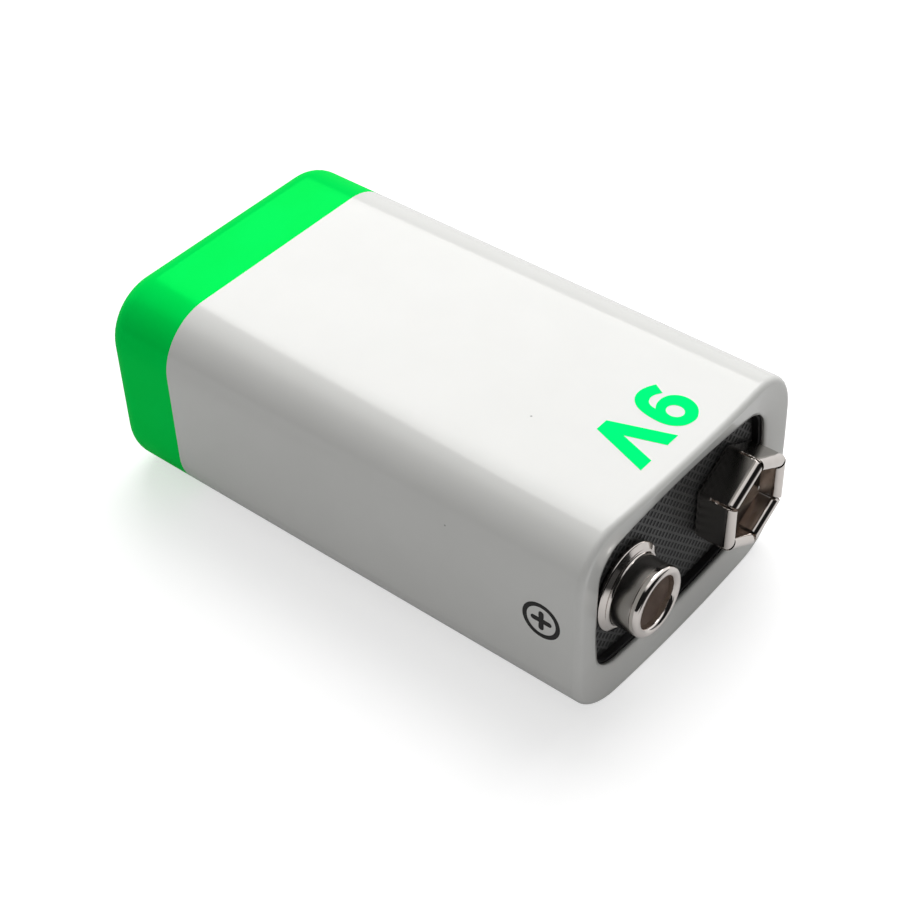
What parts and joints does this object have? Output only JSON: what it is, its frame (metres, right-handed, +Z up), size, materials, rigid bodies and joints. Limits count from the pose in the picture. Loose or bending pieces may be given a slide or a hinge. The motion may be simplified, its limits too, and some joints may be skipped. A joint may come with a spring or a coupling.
{
  "type": "nine volt battery",
  "caption": "Rectangular nine volt battery lying on a broad face, with a folded steel jacket and snap terminals: a round positive stud and a six-sided negative socket.",
  "frame": {"origin": "centre of the lower broad face, half way between the base end and the terminal tips", "axes": "+X from the base end towards the terminals, +Y from the positive stud towards the negative socket, +Z up through the thickness"},
  "size_m": [0.0482, 0.0264, 0.0175],
  "materials": {
    "jacket_print": "gloss white lacquer with a green band",
    "board_plastic": "satin black moulding, fine texture",
    "nickel_plate": "bright nickel plate",
    "nickel_strip": "rolled nickel strip",
    "card": "grey insulating card",
    "cell_can": "nickel-plated steel can",
    "film": "shrunk film"
  },
  "bodies": {
    "root": {"jacket": "jacket_print", "terminal_board": "board_plastic", "base_plate": "board_plastic", "positive_stud": "nickel_plate", "negative_socket": "nickel_plate", "positive_rivet": "nickel_plate", "negative_rivet": "nickel_plate", "positive_tab": "nickel_strip", "negative_tab": "nickel_strip", "top_card": "card", "base_card": "card", "cell_1": "cell_can", "cell_2": "cell_can", "cell_3": "cell_can", "cell_4": "cell_can", "cell_5": "cell_can", "cell_6": "cell_can", "cell_film_1": "film", "cell_film_2": "film", "cell_film_3": "film", "cell_film_4": "film", "cell_film_5": "film", "cell_film_6": "film", "base_link_1": "nickel_strip", "base_link_2": "nickel_strip", "base_link_3": "nickel_strip", "top_link_1": "nickel_strip", "top_link_2": "nickel_strip"}
  },
  "joints": []
}
